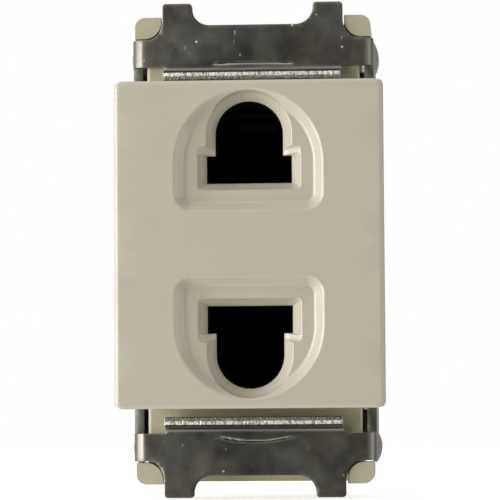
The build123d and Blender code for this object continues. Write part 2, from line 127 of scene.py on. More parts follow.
# %% A finish: one material and its network
class Finish:
    """A material with a Principled shader, measured in the piece's own millimetres."""

    def __init__(self, name, **fixed):
        self.material = bpy.data.materials.new(name)
        self.material.use_nodes = True
        self.tree = self.material.node_tree
        self.shader = self.tree.nodes["Principled BSDF"]
        for socket, value in fixed.items():
            self.shader.inputs[socket.replace("_", " ")].default_value = value
        place = self.node("ShaderNodeTexCoord", output="Object")
        self.place = self.node(
            "ShaderNodeVectorMath", {"operation": "SCALE"}, {0: place, "Scale": 1 / MM}
        )

    def node(self, kind, settings=None, sockets=None, output=0):
        """Any node: its settings first, then the values or links of its sockets."""
        made = self.tree.nodes.new(kind)
        for name, value in (settings or {}).items():
            setattr(made, name, value)
        for name, value in (sockets or {}).items():
            if isinstance(value, Value):
                self.tree.links.new(value.socket, made.inputs[name])
            else:
                made.inputs[name].default_value = value
        return Value(self, made.outputs[output])

    def grain(self, per_mm, detail=2.0, roughness=0.5, stretch=None, shift=0.0):
        """Cloudy noise from 0 to 1, with so many lumps per millimetre."""
        where = self.place
        if stretch or shift:
            where = self.node(
                "ShaderNodeMapping",
                {},
                {"Vector": where, "Location": (shift,) * 3, "Scale": stretch or (1, 1, 1)},
            )
        sockets = {"Vector": where, "Scale": per_mm, "Detail": detail, "Roughness": roughness}
        return self.node("ShaderNodeTexNoise", {}, sockets)

    def spots(self, per_mm, shift):
        """Distance to scattered points: small near each point."""
        where = self.node("ShaderNodeMapping", {}, {"Vector": self.place, "Location": (shift,) * 3})
        return self.node("ShaderNodeTexVoronoi", {}, {"Vector": where, "Scale": per_mm})

    def between(self, value, low, high, start=0.0, end=1.0):
        """Stretches the part of a value between low and high to start..end, and clips the rest."""
        sockets = {0: value, 1: low, 2: high, 3: start, 4: end}
        return self.node("ShaderNodeMapRange", {"clamp": True}, sockets)

    def from_middle(self, axis):
        """How far a point lies from the middle along one axis, in millimetres."""
        split = self.node("ShaderNodeSeparateXYZ", {}, {0: self.place}, output="XYZ".index(axis))
        return self.node("ShaderNodeMath", {"operation": "ABSOLUTE"}, {0: split})

    def ahead_of_plane(self):
        """How far a point lies ahead of the mounting plane, toward the room, in millimetres."""
        split = self.node("ShaderNodeSeparateXYZ", {}, {0: self.place}, output=1)
        return split * -1.0

    def mix(self, factor, first, second):
        """From one colour to another."""
        first = first if isinstance(first, Value) else (*first, 1)
        second = second if isinstance(second, Value) else (*second, 1)
        sockets = {0: factor, 6: first, 7: second}
        return self.node("ShaderNodeMix", {"data_type": "RGBA"}, sockets, output=2)

    def bump(self, height, distance_mm, strength=1.0, under=None):
        sockets = {"Height": height, "Distance": distance_mm * MM, "Strength": strength}
        if under:
            sockets["Normal"] = under
        return self.node("ShaderNodeBump", {}, sockets)

    def done(self, **linked):
        for socket, value in linked.items():
            self.tree.links.new(value.socket, self.shader.inputs[socket.replace("_", " ")])
        print("finish", self.material.name, "nodes", len(self.tree.nodes))
        return self.material


# %% [markdown]
# ## The moulded plastics
# The face is urea plastic: dense, a little waxy, with the faint cloudiness of pressed powder.
# The body is a cheaper, yellower thermoplastic, and the insert is plain black.
# They share one recipe: cloudy colour, a satin roughness that wanders where fingers have been,
# and two sizes of bump, the mould's spark grain and a slow ripple from shrinkage.
# A thin glossy skin over the satin gives the crisp glints along the dishes.


# %% One recipe for every plastic
def plastic(name, colour, deep, pale, roughness, ripple=0.004, sheen_level=0.45, skin=0.0):
    f = Finish(name, IOR=1.5, Specular_IOR_Level=sheen_level, Coat_Weight=skin, Coat_Roughness=0.13)
    cloud = f.grain(0.16, 3.0, 0.55)
    fleck = f.grain(1.7, 2.0, 0.6, shift=7.0)
    tone = f.mix(f.between(cloud, 0.3, 0.7), deep, colour)
    tone = f.mix(f.between(fleck, 0.45, 0.75) * 0.22, tone, pale)
    smudge = f.grain(0.35, 4.0, 0.6, stretch=(1, 1, 0.6), shift=19.0)
    shine = f.between(smudge, 0.3, 0.7, roughness - 0.03, roughness + 0.03)
    slow = f.bump(f.grain(0.5, 1.0), ripple)
    fine = f.bump(f.grain(9.0, 2.0, 0.6), 0.0016, 1.0, slow)
    return f.done(Base_Color=tone, Roughness=shine, Normal=fine)


face_plastic = plastic(
    "face_plastic", (0.575, 0.530, 0.415), (0.555, 0.510, 0.398), (0.62, 0.575, 0.465), 0.40, skin=0.8
)
body_plastic = plastic(
    "body_plastic", (0.50, 0.47, 0.325), (0.47, 0.44, 0.30), (0.60, 0.57, 0.43), 0.44, 0.006, skin=0.3
)
holder_plastic = plastic(
    "holder_plastic", (0.011, 0.011, 0.008), (0.009, 0.009, 0.007), (0.016, 0.016, 0.012), 0.85,
    sheen_level=0.08,
)
button_plastic = plastic(
    "button_plastic", (0.68, 0.67, 0.62), (0.65, 0.64, 0.58), (0.75, 0.74, 0.70), 0.4
)

# %% [markdown]
# ## The strap's steel
# The straps are blanked and folded from plated steel. The flats are dark, because they mirror the
# dark room in front of them, with brown and green heat-tint clouds from the plating bath, fine
# rolling lines along the sheet, and a few bright nicks from tumbling in a bin.
# The nicks are thresholded spots, and the scratches are noise stretched long and thin.


# %% The flat of the strap
def strap_flat():
    f = Finish("strap_steel", Metallic=1.0)
    out = f.from_middle("X")
    cloud = f.grain(0.16, 2.0, 0.5, shift=2.0)
    patch = f.grain(0.30, 1.0, 0.5, shift=11.0)
    tone = f.mix(f.between(cloud, 0.38, 0.62), (0.44, 0.42, 0.36), (0.36, 0.39, 0.34))
    brown = f.between(patch, 0.40, 0.60) * f.between(out, 2.5, 6.5)
    tone = f.mix(brown * 0.8, tone, (0.56, 0.42, 0.34))
    nick = f.between(f.spots(0.55, shift=5.0), 0.075, 0.03)
    line = f.grain(1.2, 2.0, 0.6, stretch=(2.4, 1.0, 0.5), shift=41.0)
    scratch = f.between(line, 0.73, 0.77)
    ahead = f.ahead_of_plane()
    # painted shade: the concave crease of the fold, just ahead of the mounting plane, is painted near black
    fold_crease_shade = f.between(ahead, 0.0, 0.08) * f.between(ahead, 1.1, 0.7)
    tone = f.mix(f.between(out, 2.5, 8.0) * 0.6, tone, (0.72, 0.69, 0.60))
    tone = f.mix(nick * 0.9, tone, (0.95, 0.94, 0.88))
    tone = f.mix(fold_crease_shade * 0.9, tone, (0.10, 0.095, 0.08))
    leg = f.between(out, 9.2, 9.9)
    # painted shade: the front of each leg's wrap is darkened, which dims the lamps' highlight there
    wrap_shade = leg * f.between(ahead, -2.2, -1.0)
    tone = f.mix(leg * 0.5, tone, (0.36, 0.35, 0.31))
    tone = f.mix(wrap_shade * 0.9, tone, (0.18, 0.175, 0.15))
    rough = f.between(f.grain(0.5, 2.0, 0.5, shift=17.0), 0.3, 0.7, 0.25, 0.33)
    rough = rough + nick * 0.3 + scratch * 0.2 + leg * 0.14
    rolled = f.bump(f.grain(1.4, 0.0, 0.5, stretch=(0.3, 1, 1), shift=23.0), 0.002)
    dented = f.bump(scratch * -0.3 + nick * 0.3, 0.02, 1.0, rolled)
    dull = f.bump(f.grain(0.3, 0.0, shift=29.0), 0.02, 1.0, dented)
    return f.done(Base_Color=tone, Roughness=rough, Normal=dull)


strap_steel = strap_flat()

# %% [markdown]
# ## The cut edges
# A punch first bends the sheet's skin over, then shears it bright, and at last tears it away dull.
# So across the thickness a blanked edge has three bands: a rolled corner, a bright burnished
# band with fine strokes in the punch's direction, and grey torn grains. The stiffening fold turns
# its edge to the room, where all three show, and both corners of that edge are painted near black
# as shade. The other cut edges, the legs' among them, are painted darker than the flats, as shade.

# %% Where the bands of the fold's edge lie
FOLD_EDGE_LOW, FOLD_EDGE_HIGH = 14.39, 15.19


# %% The fold's edge and the other cut edges
def fold_edge():
    f = Finish("strap_sheared_edge", Metallic=1.0)
    height = f.from_middle("Z")
    strokes = f.grain(5.5, 2.0, 0.6, stretch=(1.0, 1.0, 0.35), shift=13.0)
    grains = f.spots(8.0, shift=1.0)
    wander = f.grain(1.6, 2.0, 0.6, shift=37.0) * 0.18
    level = height + wander
    burnished = f.between(level, FOLD_EDGE_LOW + 0.40, FOLD_EDGE_LOW + 0.50)
    dull = f.mix(f.between(grains, 0.15, 0.5), (0.62, 0.60, 0.53), (0.20, 0.19, 0.15))
    bright = f.mix(f.between(strokes, 0.36, 0.52), (0.40, 0.38, 0.32), (0.98, 0.97, 0.92))
    tone = f.mix(burnished, dull, bright)
    # painted shade: both rounded corners of the fold's edge, toward the crease and toward the face, are
    # painted near black
    rolled = f.between(height, FOLD_EDGE_HIGH - 0.16, FOLD_EDGE_HIGH - 0.12)
    tone = f.mix(rolled, tone, (0.05, 0.05, 0.04))
    hem_shade = f.between(height, FOLD_EDGE_LOW + 0.09, FOLD_EDGE_LOW + 0.05)
    tone = f.mix(hem_shade, tone, (0.08, 0.08, 0.06))
    rough = f.between(strokes, 0.3, 0.7, 0.66, 0.52)
    torn = f.bump(grains * 0.5 + strokes, 0.06)
    return f.done(Base_Color=tone, Roughness=rough, Normal=torn)


def cut_edge():
    f = Finish("strap_cut_edge", Metallic=1.0)
    edge_cloud = f.grain(1.1, 3.0, 0.6, shift=43.0)
    # painted shade: the cut edges are painted darker than the flats
    tone = f.mix(f.between(edge_cloud, 0.35, 0.65), (0.22, 0.23, 0.20), (0.32, 0.32, 0.28))
    rough = f.between(edge_cloud, 0.3, 0.7, 0.4, 0.55)
    return f.done(Base_Color=tone, Roughness=rough, Normal=f.bump(f.grain(6.0, 2.0), 0.01))


strap_sheared = fold_edge()
strap_cut = cut_edge()

# %% [markdown]
# ## Springs, contacts and terminals
# These are rolled strips: bluish spring steel, reddish phosphor bronze and yellow brass.
# All of them show rolling lines along the strip and a slightly uneven tarnish, so one recipe
# serves them, with the colours changed. The clips, jaws and rivets lie deep behind the openings,
# so their colours are painted dark, as the shade in there.


# %% One recipe for rolled strip
def rolled_strip(name, colour, tarnish, roughness):
    f = Finish(name, Metallic=1.0)
    bloom = f.grain(0.6, 3.0, 0.6, shift=3.0)
    tone = f.mix(f.between(bloom, 0.42, 0.66), colour, tarnish)
    lines = f.grain(3.0, 2.0, 0.5, stretch=(1, 0.15, 1), shift=9.0)
    rough = f.between(bloom, 0.3, 0.7, roughness - 0.05, roughness + 0.1)
    return f.done(Base_Color=tone, Roughness=rough, Normal=f.bump(lines, 0.006))


spring_steel = rolled_strip("spring_steel", (0.62, 0.62, 0.64), (0.50, 0.50, 0.55), 0.24)
# painted shade: the clip, jaw and rivet colours are darkened because they sit deep in the dark openings
clip_steel = rolled_strip("clip_steel", (0.16, 0.16, 0.17), (0.09, 0.09, 0.11), 0.45)
contact_bronze = rolled_strip("contact_bronze", (0.22, 0.13, 0.07), (0.13, 0.08, 0.05), 0.45)
rivet_brass = rolled_strip("rivet_brass", (0.16, 0.13, 0.07), (0.10, 0.08, 0.05), 0.5)
terminal_brass = rolled_strip("terminal_brass", (0.80, 0.62, 0.30), (0.62, 0.46, 0.22), 0.28)

# %% [markdown]
# ## Outlines
# Every shape on the face is straight lines joined by arcs, as a toolmaker would cut it.
# `outline` takes each corner with its radius and returns the points in order.
# The same corners with another offset give the same number of points, which keeps rings in step.


# %% Rounded outlines
def outline(corners, steps=8):
    """Points round an outline whose corners are (x, z, radius), in millimetres."""
    points = []
    for i, (x, z, radius) in enumerate(corners):
        here = Vector((x, z))
        before = (Vector(corners[i - 1][:2]) - here).normalized()
        after = (Vector(corners[(i + 1) % len(corners)][:2]) - here).normalized()
        if radius < 1e-4:
            points.append(here)
            continue
        half = before.angle(after) / 2
        centre = here + (before + after).normalized() * (radius / math.sin(half))
        first = here + before * (radius / math.tan(half)) - centre
        last = here + after * (radius / math.tan(half)) - centre
        sweep = first.angle_signed(last)
        for k in range(steps + 1):
            angle = -sweep * k / steps
            c, s = math.cos(angle), math.sin(angle)
            points.append(centre + Vector((first.x * c - first.y * s, first.x * s + first.y * c)))
    return points


def reach(points, centre, angle):
    """How far a ray from the centre goes before it meets the outline."""
    way = Vector((math.cos(angle), math.sin(angle)))
    far = centre + way * 100
    best = 0
    for a, b in zip(points, points[1:] + points[:1]):
        hit = geometry.intersect_line_line_2d(centre, far, a, b)
        if hit:
            best = max(best, (hit - centre).length)
    return best


square = [(1, 1, 0.5), (-1, 1, 0.5), (-1, -1, 0.5), (1, -1, 0.5)]
print("a square of side 2 with corners of 0.5 has", len(outline(square)), "points")

# %% [markdown]
# ## The face's sizes
# The box of the cover gives the face's width and its front.
# The openings and dishes are set by the plug: flat blades 12.7 mm apart go in the wide slots, and
# round pins 19 mm apart go in the arches.

# %% Sizes of the face
cover_low, cover_high = (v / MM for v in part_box("front_cover"))
FACE_FRONT = cover_low.y
FACE_HALF_WIDTH = cover_high.x
FACE_HALF_HEIGHT = 13.75
FACE_BACK = FACE_FRONT + 1.8
CORNER = 0.5
RIM = 0.42

SLOT_HALF, SLOT_LOW, SLOT_HIGH = 3.575, 5.15, 7.46
ARCH_RADIUS, ARCH_CENTRE = 2.84, 9.25
BEVEL, BEVEL_INNER, BEVEL_CORNER = 0.8, 0.65, 0.45
BEVEL_DEPTH, OPENING_DEPTH = 0.8, 1.72
DISH_HALF, DISH_CENTRE, DISH_LOW, DISH_CORNER = 6.33, 6.8, 2.65, 1.6
DISH_DEPTH, SLOPE = 0.8, 1.0
MIDDLE = Vector((0, 6.9))


def opening(grow, inner, corner):
    """The bell-shaped opening, grown outward; its inner edge grows by its own amount."""
    low, shoulder = SLOT_LOW - inner, SLOT_HIGH + grow
    wide, narrow = SLOT_HALF + grow, ARCH_RADIUS + grow
    top = ARCH_CENTRE + narrow
    right = [
        (wide, low, corner), (wide, shoulder, corner), (narrow, shoulder, 0.06), (narrow, top, narrow - 0.002)
    ]
    return outline(right + [(-x, z, r) for x, z, r in reversed(right)], 12)


def dish(inset):
    """The dish's edge: a half-round end, and a straight edge with rounded corners."""
    half = DISH_HALF - inset
    small = DISH_CORNER - 0.6 * inset
    corners = [(half, DISH_LOW + inset, small), (half, DISH_CENTRE + half, half - 0.002)]
    return outline(corners + [(-x, z, r) for x, z, r in reversed(corners)], 28)


print("opening", len(opening(0, 0, 0.05)), "points, dish", len(dish(0)), "points")

# %% [markdown]
# ## Depth of the face at any point
# The dish falls away from the face in a soft S: rounded over at the top, hollow at the foot.
# Round each opening a step drops to the bevel that leads a pin in.
# At the tip of each arch the step runs into the dish's slope, and the deeper of the two wins,
# which gives the thin crease there.


# %% The dish's slope
def slope_depth(inside):
    """Depth a given distance inside the dish's edge."""
    t = min(max(inside / SLOPE, 0), 1)
    over, under = 0.22, 0.26
    # a parabola over the edge, a straight run, and a parabola at the foot
    steep = 1 / (1 - (over + under) / 2)
    if t < over:
        share = steep * t * t / (2 * over)
    elif t < 1 - under:
        share = steep * (t - over / 2)
    else:
        share = 1 - steep * (1 - t) ** 2 / (2 * under)
    return DISH_DEPTH * share


def inside_dish(x, z):
    """Distance from a point to the dish's edge, positive inside."""
    if z > DISH_CENTRE:
        return DISH_HALF - math.hypot(x, z - DISH_CENTRE)
    corner_x, corner_z = DISH_HALF - DISH_CORNER, DISH_LOW + DISH_CORNER
    if abs(x) > corner_x and z < corner_z:
        return DISH_CORNER - math.hypot(abs(x) - corner_x, z - corner_z)
    return min(DISH_HALF - abs(x), z - DISH_LOW)


print("depth half-way down the slope", round(slope_depth(SLOPE / 2), 3), "mm")

# %% [markdown]
# ## Building the face from rays
# A modeller could cut the dish with booleans, but that leaves ragged faces round soft slopes.
# Here rays leave the middle of each opening through every corner of every outline.
# Each ray becomes a row of points from the opening's edge to the rim of the face, so the mesh is
# all long four-sided faces that follow the shape. The lower half is the upper half mirrored.


# %% The rows of points
CREASE = 0.06
SLOPE_STEPS = 16


def ray_angles(*outlines):
    angles = {round(math.radians(a), 4) for a in range(-180, 180, 3)}
    for points in outlines:
        angles |= {round(math.atan2(p.y - MIDDLE.y, p.x - MIDDLE.x), 4) for p in points}
    kept = []
    for angle in sorted(angles):
        if not kept or angle - kept[-1] > 0.004:
            kept.append(angle)
    return kept


def face_half():
    """Rows of (x, y, z) from the opening's edge to the border, one row for each ray."""
    edge = opening(0, 0, 0.06)
    mouth = opening(BEVEL, BEVEL_INNER, BEVEL_CORNER)
    foot, lip = dish(SLOPE), dish(0)
    half_width, top = FACE_HALF_WIDTH - RIM, FACE_HALF_HEIGHT - RIM
    corner = CORNER - RIM
    sides = [(half_width, 0, 0), (half_width, top, corner), (-half_width, top, corner), (-half_width, 0, 0)]
    border = outline(sides, 4)
    rows = []
    for angle in ray_angles(edge, mouth, foot, lip, border):
        way = Vector((math.cos(angle), math.sin(angle)))
        r_edge, r_mouth, r_foot, r_lip, r_border = (
            reach(p, MIDDLE, angle) for p in (edge, mouth, foot, lip, border)
        )
        row = []

        def put(r, depth):
            p = MIDDLE + way * r
            row.append((p.x, FACE_FRONT + depth, p.y))

        put(r_edge, FACE_BACK - FACE_FRONT)
        put(r_edge, OPENING_DEPTH + 0.03)
        put(r_edge + 0.03, OPENING_DEPTH - 0.02)
        for share in (0.3, 0.6, 0.88):
            put(r_edge + (r_mouth - r_edge) * share, OPENING_DEPTH + (BEVEL_DEPTH - OPENING_DEPTH) * share)
        put(r_mouth - CREASE, BEVEL_DEPTH + 0.04)
        for extra in (0.0, 0.05):
            p = MIDDLE + way * (r_mouth + extra)
            put(r_mouth + extra, slope_depth(inside_dish(p.x, p.y)))
        start = max(r_foot - 0.02, r_mouth + CREASE)
        for k in range(SLOPE_STEPS + 1):
            r = start + (r_lip - start) * k / SLOPE_STEPS
            p = MIDDLE + way * r
            put(r, slope_depth(inside_dish(p.x, p.y)))
        for share in (0.02, 0.5, 1.0):
            put(r_lip + (r_border - r_lip) * share, 0)
        rows.append(row)
    return rows


half_rows = face_half()
print("rays", len(half_rows), "points on each", len(half_rows[0]))


# %% [markdown]
# ## The face plate as one closed mesh
# The two halves meet on the middle line. The border then rolls over the rim in a quarter circle,
# runs down the side wall, and turns in at the back. The neck, flange and corner tabs behind are
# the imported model's own surfaces, with their edges rounded as a mould leaves them.


# %% Mesh helpers
SHARP = math.radians(28)
NEARLY_FLAT = math.radians(0.6)
WELD = 0.002


def to_piece(bm, name, finishes, body="housing"):
    """Turns a bmesh in millimetres into a piece that rides on a body."""
    bmesh.ops.recalc_face_normals(bm, faces=bm.faces)
    bmesh.ops.scale(bm, vec=(MM, MM, MM), verts=bm.verts)
    mesh = bpy.data.meshes.new(name)
    bm.to_mesh(mesh)
    bm.free()
    mesh.polygons.foreach_set("use_smooth", [True] * len(mesh.polygons))
    for finish in finishes:
        mesh.materials.append(finish)
    piece = bpy.data.objects.new(name, mesh)
    bpy.context.scene.collection.objects.link(piece)
    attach(piece, body)
    print("piece", name, "faces", len(mesh.polygons))
    return piece


def flatten_shading(piece):
    """Keeps big flats flat beside small round edges."""
    modifier = piece.modifiers.new("flat_faces_lead", "WEIGHTED_NORMAL")
    modifier.keep_sharp = True
    modifier.weight = 80


def solid_copy(node):
    """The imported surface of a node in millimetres, with its flat faces melted together."""
    bm = bmesh.new()
    bm.from_mesh(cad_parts[node].data)
    bmesh.ops.scale(bm, vec=(1 / MM,) * 3, verts=bm.verts)
    bmesh.ops.remove_doubles(bm, verts=bm.verts, dist=WELD)
    bmesh.ops.dissolve_limit(bm, angle_limit=NEARLY_FLAT, verts=bm.verts, edges=bm.edges)
    return bm


def round_edges(bm, width, segments=2):
    """Rounds every edge that turns by more than SHARP."""
    sharp = [e for e in bm.edges if len(e.link_faces) == 2 and e.calc_face_angle(0) > SHARP]
    bmesh.ops.bevel(
        bm, geom=sharp, offset=width, segments=segments, profile=0.5, affect="EDGES", clamp_overlap=True
    )


# %% The cover: face plate, neck, flange and corner tabs
NECK_ROUND, NECK_SUNK = 0.16, 0.04


def cover():
    bm = bmesh.new()
    for side in (1, -1):
        grid = [[bm.verts.new((x, y, side * z)) for x, y, z in row] for row in half_rows]
        for a, b in zip(grid, grid[1:] + grid[:1]):
            for k in range(len(a) - 1):
                bm.faces.new((a[k], b[k], b[k + 1], a[k + 1]))
    bmesh.ops.remove_doubles(bm, verts=bm.verts, dist=0.0008)
    loose = [f for f in bm.faces if f.calc_area() < 1e-7]
    bmesh.ops.delete(bm, geom=loose, context="FACES_ONLY")
    border = [e for e in bm.edges if e.is_boundary and max(v.co.y for v in e.verts) < FACE_FRONT + 0.01]

    core_x, core_z = FACE_HALF_WIDTH - CORNER, FACE_HALF_HEIGHT - CORNER

    def rolled(v, inset, depth):
        core = Vector((min(max(v.co.x, -core_x), core_x), 0, min(max(v.co.z, -core_z), core_z)))
        way = Vector((v.co.x - core.x, 0, v.co.z - core.z)).normalized()
        spot = core + way * (CORNER - inset)
        v.co = Vector((spot.x, FACE_FRONT + depth, spot.z))

    bends = [math.radians(15 * k) for k in range(1, 7)]
    profile = [(RIM * (1 - math.sin(a)), RIM * (1 - math.cos(a))) for a in bends]
    side = FACE_BACK - FACE_FRONT
    profile += [(0.0, side * 0.6), (0.01, side - 0.12), (0.04, side - 0.04), (0.12, side)]
    edges = border
    for inset, depth in profile:
        grown = bmesh.ops.extrude_edge_only(bm, edges=edges)["geom"]
        for v in [g for g in grown if isinstance(g, bmesh.types.BMVert)]:
            rolled(v, inset, depth)
        edges = [g for g in grown if isinstance(g, bmesh.types.BMEdge) and g.is_boundary]
    backs = [e for e in bm.edges if e.is_boundary]
    bmesh.ops.triangle_fill(bm, edges=backs, use_beauty=True, use_dissolve=False)

    rest = solid_copy("front_cover")
    behind = [v for v in rest.verts if v.co.y < FACE_BACK - 0.01]
    bmesh.ops.delete(rest, geom=behind, context="VERTS")
    plate = [f for f in rest.faces if max(v.co.y for v in f.verts) < FACE_BACK + 0.01]
    bmesh.ops.delete(rest, geom=plate, context="FACES")
    round_edges(rest, NECK_ROUND, 3)
    joint = [v for v in rest.verts if v.co.y < FACE_BACK + 0.01]
    for v in joint:
        v.co.y -= NECK_SUNK
    mesh = bpy.data.meshes.new("neck")
    rest.to_mesh(mesh)
    rest.free()
    first_neck = len(bm.faces)
    bm.from_mesh(mesh)
    bm.faces.ensure_lookup_table()
    for f in bm.faces[first_neck:]:
        f.material_index = 1
    return to_piece(bm, "cover_shell", [face_plastic, body_plastic])


cover_piece = cover()
flatten_shading(cover_piece)
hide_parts("front_cover")

# %% [markdown]
# ## The straps
# A press tool cuts a flat blank and folds it: a stiffening fold along the inner edge and a leg at
# each side. The mesh is made the same way. The blank is filled with small faces, lined up with
# the bends, and each point is then carried round the bends by a formula. Solidify gives the
# thickness. A sheet made like this bends evenly, which booleans on solid blocks never quite do.

# %% Sizes of the straps
strap_low, strap_high = (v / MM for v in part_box("top_strap"))
SHEET = 0.8
LEG_END = strap_high.y
EAR_TIP = strap_high.z
LEG_LOW = strap_low.z
PLATE_LOW, NOTCH, WRAP = 15.79, 19.39, 18.15
EAR_IN, EAR_OUT, ROOT, TIP = 5.22, 7.78, 1.5, 0.3
FLARE_OUT, FLARE_UP = 0.62, 1.15
FOLD_HALF, FOLD_MID, FOLD_EDGE = 7.64, 1.0, strap_low.y
LEG_AT, LEG_MID = 9.4, 0.6
SHOULDER, SHOULDER_ROUND = 1.2, 0.35
WINDOW_MIDDLE, WINDOW_HALF, WINDOW_CORNER = 15.025, 1.4, 0.2
WINDOW = (9.3, 11.8, WINDOW_MIDDLE - WINDOW_HALF, WINDOW_MIDDLE + WINDOW_HALF)
QUARTER = math.pi / 2
GROOVE_HALF, GROOVE_REACH, GROOVE_DEEP, GROOVE_FADE, GROOVE_RISE = 3.45, 0.25, 0.09, 0.15, 0.22
BEAD_START, BEAD_END, BEAD_FADE, BEAD_HIGH = 3.5, 8.3, 0.7, 0.4
FOLD_START = -0.6
leg_turn = LEG_MID * QUARTER
leg_start = LEG_AT + leg_turn
fold_turn = FOLD_MID * QUARTER
fold_flat = FOLD_START - FOLD_EDGE
blank_low = PLATE_LOW - fold_turn - fold_flat
leg_tip = leg_start + LEG_END - (LEG_MID + SHEET / 2)
print("blank", round(2 * leg_tip, 2), "by", round(EAR_TIP - blank_low, 2), "mm")


# %% From the flat blank to the folded strap
def folded(s, t, groove_bow):
    """Where a point of the blank ends up: s across, t up, on the middle of the sheet."""
    x, y, z = abs(s), SHEET / 2, t
    if t < PLATE_LOW and x < LEG_AT:
        angle = min((PLATE_LOW - t) / FOLD_MID, QUARTER)
        z = PLATE_LOW - FOLD_MID * math.sin(angle)
        y = FOLD_START + FOLD_MID * math.cos(angle) - max(PLATE_LOW - t - fold_turn, 0)
    elif x > LEG_AT:
        angle = min((x - LEG_AT) / LEG_MID, QUARTER)
        run = max(x - leg_start, 0)
        y = LEG_MID + SHEET / 2 - LEG_MID * math.cos(angle) + run
        x = LEG_AT + LEG_MID * math.sin(angle)
        across = (t - (WRAP + PLATE_LOW) / 2) / ((WRAP - PLATE_LOW) / 2)
        starts = min(max((y - BEAD_START) / BEAD_FADE, 0), 1)
        ends = min(max((BEAD_END - y) / BEAD_FADE, 0), 1)
        along = starts * ends
        if abs(across) < 1:
            x += BEAD_HIGH * (1 - across * across) * along * along * (3 - 2 * along)
    groove_middle = PLATE_LOW + GROOVE_RISE + groove_bow * (1 - (s / GROOVE_HALF) ** 2)
    off = abs(t - groove_middle) / GROOVE_REACH
    if abs(s) < GROOVE_HALF and off < 1:
        fade = min((GROOVE_HALF - abs(s)) / GROOVE_FADE, 1)
        y += GROOVE_DEEP * fade * math.cos(off * QUARTER) ** 2
    return Vector((math.copysign(x, s), y, z))


def blank_outline():
    """Half of the blank's outline, from the middle of the fold round to the notch."""
    drop = PLATE_LOW
    shoulder = leg_start + SHOULDER - (LEG_MID + SHEET / 2)
    return [
        (FOLD_HALF, blank_low, 0.15), (FOLD_HALF, drop, 0.0), (shoulder, drop, 0.12),
        (shoulder, LEG_LOW, SHOULDER_ROUND), (leg_tip, LEG_LOW, SHOULDER_ROUND),
        (leg_tip, WRAP, SHOULDER_ROUND), (EAR_OUT + FLARE_OUT, WRAP, 1.2),
        (EAR_OUT, WRAP + FLARE_UP, 2.3), (EAR_OUT, EAR_TIP, TIP),
        (EAR_IN, EAR_TIP, TIP), (EAR_IN, NOTCH, ROOT),
    ]


right = blank_outline()
blank = outline(right + [(-s, t, r) for s, t, r in reversed(right)], 10)
print("outline of the blank", len(blank), "points")

# %% [markdown]
# ## Filling the blank
# Grid lines follow the bends, close together where the sheet turns. The outline is cut wherever
# it crosses a line, and a constrained Delaunay fill joins grid and outline without gaps.


# %% Grid lines, and the outline cut by them
def lines(stops):
    """Positions along one direction: (start, end, spacing) stretches, joined."""
    found = []
    for start, end, spacing in stops:
        count = max(1, round((end - start) / spacing))
        found += [start + (end - start) * k / count for k in range(count)]
    return found + [stops[-1][1]]


half_lines = lines([
    (0, FOLD_HALF, 0.4), (FOLD_HALF, LEG_AT, 0.4), (LEG_AT, leg_start, 0.1), (leg_start, leg_tip, 0.45),
])
across = sorted({round(v, 4) for s in half_lines for v in (s, -s)})
upward = lines([
    (blank_low, PLATE_LOW - fold_turn, 0.3), (PLATE_LOW - fold_turn, PLATE_LOW, 0.16),
    (PLATE_LOW, PLATE_LOW + 0.96, 0.12), (PLATE_LOW + 0.96, WRAP, 0.35), (WRAP, EAR_TIP, 0.4),
])
leg_upward = lines([(LEG_LOW, PLATE_LOW, 0.4)])


def cut_by_grid(points, closest=0.03):
    """The same outline with points added where grid lines cross it."""
    cut = []
    for a, b in zip(points, points[1:] + points[:1]):
        shares = {0.0}
        for axis, values in ((0, across), (1, upward + leg_upward)):
            span = b[axis] - a[axis]
            if abs(span) > 1e-6:
                shares |= {(v - a[axis]) / span for v in values if 0 < (v - a[axis]) / span < 1}
        last = None
        for share in sorted(shares):
            p = a.lerp(b, share)
            if last is None or (p - last).length > closest and (p - b).length > closest:
                cut.append(p)
                last = p
    return cut


def inside(points, p):
    """Whether a point lies inside a closed outline."""
    odd = False
    for a, b in zip(points, points[1:] + points[:1]):
        if (a.y > p.y) != (b.y > p.y) and p.x < (b.x - a.x) * (p.y - a.y) / (b.y - a.y) + a.x:
            odd = not odd
    return odd


def clear_of(points, p, gap):
    """Whether a point keeps a gap from every stretch of an outline."""
    for a, b in zip(points, points[1:] + points[:1]):
        nearest, share = geometry.intersect_point_line(p, a, b)
        near = nearest.to_2d() if 0 <= share <= 1 else a
        if (near - p).length <= gap:
            return False
    return True


def window(side):
    """The latch window of one leg, laid out on the blank."""
    near, far, bottom, top = WINDOW
    low, high = (leg_start + y - (LEG_MID + SHEET / 2) for y in (near, far))
    r = WINDOW_CORNER
    corners = [(low, bottom, r), (high, bottom, r), (high, top, r), (low, top, r)]
    return [Vector((side * p.x, p.y)) for p in outline(corners, 4)]


edge_loop = cut_by_grid(blank)
windows = [window(1), window(-1)]
grid = []
for s in across:
    for t in upward + leg_upward:
        p = Vector((s, t))
        if inside(edge_loop, p) and not any(inside(w, p) for w in windows):
            if all(clear_of(loop, p, 0.1) for loop in (edge_loop, *windows)):
                grid.append(p)
print("edge points", len(edge_loop), "inner points", len(grid))


# %% The sheet, filled and folded
WAVES_PER_MM, WAVE_HEIGHT = 0.35, 0.012


